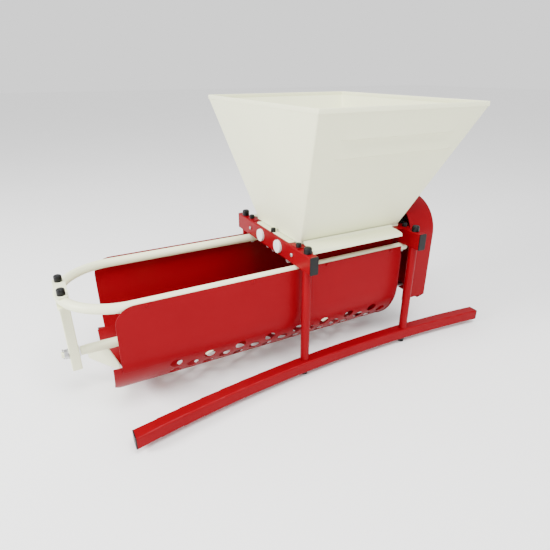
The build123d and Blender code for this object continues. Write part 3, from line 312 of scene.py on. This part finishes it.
wall_low = (throat_low[0], throat_low[1], throat_high[2])
wall_high = (throat_high[0], throat_high[1], rim_low[2] + wall_overlap)
funnel = box_piece("hopper_shell", wall_low, wall_high)
open_ends(funnel)
wall_middle = (wall_low[2] + wall_high[2]) / 2
choose(funnel, "verts", lambda vert: vert.co.z > wall_middle)
rim_size = [rim_high[i] - rim_low[i] - 2 * wall_inset for i in (0, 1)]
throat_size = [throat_high[i] - throat_low[i] for i in (0, 1)]
bpy.ops.transform.resize(value=(rim_size[0] / throat_size[0], rim_size[1] / throat_size[1], 1))
rim_shift = (rim_low[0] + rim_high[0] - throat_low[0] - throat_high[0]) / 2
bpy.ops.transform.translate(value=(rim_shift, 0, 0))
for rib_z, rib_left, rib_right in ribs:
    full_left, full_right = rib_left + rib_run, rib_right - rib_run
    cuts = [((0, 0, rib_z + step), (0, 0, 1)) for step in (-rib_under, 0, rib_over)]
    cuts += [((x, 0, 0), (1, 0, 0)) for x in (rib_left, full_left, full_right, rib_right)]
    for spot, across in cuts:
        choose(funnel, "faces", lambda face: face.normal.y < -0.5)
        bpy.ops.mesh.bisect(plane_co=spot, plane_no=across)
    choose(
        funnel,
        "verts",
        lambda vert: abs(vert.co.z - rib_z) < near
        and vert.co.y < 0
        and full_left - near < vert.co.x < full_right + near,
    )
    bpy.ops.transform.translate(value=(0, -rib_reach, 0))
for split in (-0.3, 0.3):
    choose(funnel, "edges", lambda edge: is_wall_corner(edge, split))
    bpy.ops.mesh.bevel(offset=wall_corner, segments=4, affect="EDGES")
thicken(funnel, sheet_thick, sheet_edge, segments=1)

neck = box_piece("neck", throat_low, throat_high)
open_ends(neck)
thicken(neck, sheet_thick, sheet_edge, segments=1)
hem = box_piece("hem", rim_low, rim_high)
open_ends(hem)
choose(hem, "edges", is_upright)
bpy.ops.mesh.bevel(offset=hem_corner, segments=4, affect="EDGES")
thicken(hem, hem_thick, hem_edge, segments=3)
tabs = []
for tab_left, tab_right in tab_spans:
    tab_low = (tab_left, -tab_half_width, tab_under)
    tab = box_piece("tab", tab_low, (tab_right, tab_half_width, tab_top))
    outer = tab_left if tab_left < 0 else tab_right
    choose(tab, "edges", lambda edge: is_upright(edge) and abs(edge.verts[0].co.x - outer) < near)
    bpy.ops.mesh.bevel(offset=tab_corner, segments=5, affect="EDGES")
    bpy.ops.object.mode_set(mode="OBJECT")
    tabs.append(tab)
bpy.ops.object.select_all(action="DESELECT")
for piece in (funnel, neck, hem, *tabs):
    piece.select_set(True)
bpy.context.view_layer.objects.active = funnel
bpy.ops.object.join()
bpy.ops.object.shade_smooth_by_angle(angle=radians(25))
funnel.data.materials.clear()
funnel.data.materials.append(cream)
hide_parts("hopper")
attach(funnel, "frame")

# ---- Plugs, caps and grip -------------------------------------------------------------------
# Black polyethylene pushed into tube ends and snapped over nuts, and the crank's grip.


def moulded_plastic(name, colour, rough, grain):
    """Injection-moulded plastic: fine spark grain, faint paler rubbed patches, slightly polished
    edges, and a painted highlight that makes sharp edges paler.
    """
    pit_scale, rub_scale = 1600.0, 60.0
    paler, lift, edge_highlight_show, rub_show = 1.3, 0.006, 0.5, 0.12
    rub_rough, edge_polish = 0.15, 0.1
    material, shader, wires, place = start_material(name)
    rubs = noise(wires, place, rub_scale, detail=3.0)
    pits = noise(wires, place, pit_scale)
    edges = edge_mask(wires, radius=0.0008, gain=2.0)
    # The paler colour along sharp edges is a painted highlight; the paler patches are random
    # rubbing.
    light = [min(1, c * paler + lift) for c in colour[:3]] + [1]
    tone = blend_colours(wires, edges * edge_highlight_show + rubs * rub_show, colour, light)
    bump = relief(wires, pits, strength=grain, distance=0.0003, edge_round=0.0006)
    dullness = rough + rubs * rub_rough - edges * edge_polish
    feed(wires, shader, Base_Color=tone, Roughness=dullness, Normal=bump)
    shader.inputs["Specular IOR Level"].default_value = 0.22
    return material


black = moulded_plastic("black_moulding", (0.003, 0.003, 0.0035, 1), rough=0.34, grain=0.25)
paint_nodes(black, (
    "beam_end_plugs", "bar_end_plugs", "rail_end_plugs", "foot_nut_caps", "large_nut_caps",
    "small_nut_caps", "crank_grip",
))

# ---- Bushes ---------------------------------------------------------------------------------
# Turned from white nylon rod, with a fine grain and a waxy sheen. The left roller bushes are
# closed discs over the shafts' ends.
nylon = moulded_plastic("white_nylon", (0.78, 0.78, 0.74, 1), rough=0.35, grain=0.12)
paint_nodes(nylon, ("roller_bushes", "rotor_bushes"))

# ---- Screws, nuts and rods ------------------------------------------------------------------
# Zinc-plated steel fasteners: dull silver with a faintly cloudy plating.


def worked_metal(name, colour, rough, grain_scale, metal=1.0):
    """Bare or plated metal: fine grain, drawn out where its scale is low, and dull spots."""
    spot_scale, spot_shade, spot_rough, line_rough = 90.0, 0.7, 0.2, 0.1
    material, shader, wires, place = start_material(name)
    stretched = wires.node("ShaderNodeMapping", {}, {"Vector": place, "Scale": grain_scale})
    lines = noise(wires, stretched, 1.0, detail=3.0)
    spots = noise(wires, place, spot_scale, detail=4.0)
    dull = [c * spot_shade for c in colour[:3]] + [1]
    tone = blend_colours(wires, spots, colour, dull)
    bump = relief(wires, lines, strength=0.15, distance=0.0002, edge_round=0.0005)
    dullness = rough + spots * spot_rough + lines * line_rough
    feed(wires, shader, Base_Color=tone, Roughness=dullness, Normal=bump)
    shader.inputs["Metallic"].default_value = metal
    return material


zinc = worked_metal("zinc_plate", (0.56, 0.56, 0.57, 1), 0.28, (400, 400, 400))
paint_nodes(zinc, (
    "leg_tie_rods", "m8_nuts", "m6_nuts", "rail_screws", "bracket_screws",
    "beam_screws", "feed_screws", "guard_spacers", "guard_screws", "rotor_washer",
    "rotor_end_nut", "rotor_split_pin", "crank_pin", "crank_hub_nut",
))

# ---- Rollers and their shafts ---------------------------------------------------------------
# Extruded aluminium rollers with long die lines, on bright steel shafts with turned rings.
aluminium = worked_metal("extruded_aluminium", (0.74, 0.75, 0.76, 1), 0.3, (6, 900, 900))
paint_nodes(aluminium, ("roller_front", "roller_rear"))
bright_steel = worked_metal("drawn_steel", (0.6, 0.6, 0.61, 1), 0.2, (900, 90, 90))
paint_nodes(bright_steel, ("roller_shaft_front", "roller_shaft_rear"))

# ---- Gears, pulleys and belt ----------------------------------------------------------------
# Cast iron wheels with a coarse skin, and a cloth-faced rubber belt.
iron = worked_metal("cast_iron_skin", (0.16, 0.16, 0.17, 1), 0.45, (500, 500, 500), 0.9)
paint_nodes(iron, ("roller_gear_front", "roller_gear_rear", "drive_pulley", "rotor_pulley"))
rubber = moulded_plastic("belt_cloth", (0.015, 0.015, 0.015, 1), rough=0.7, grain=0.6)
paint_nodes(rubber, ("drive_belt",))
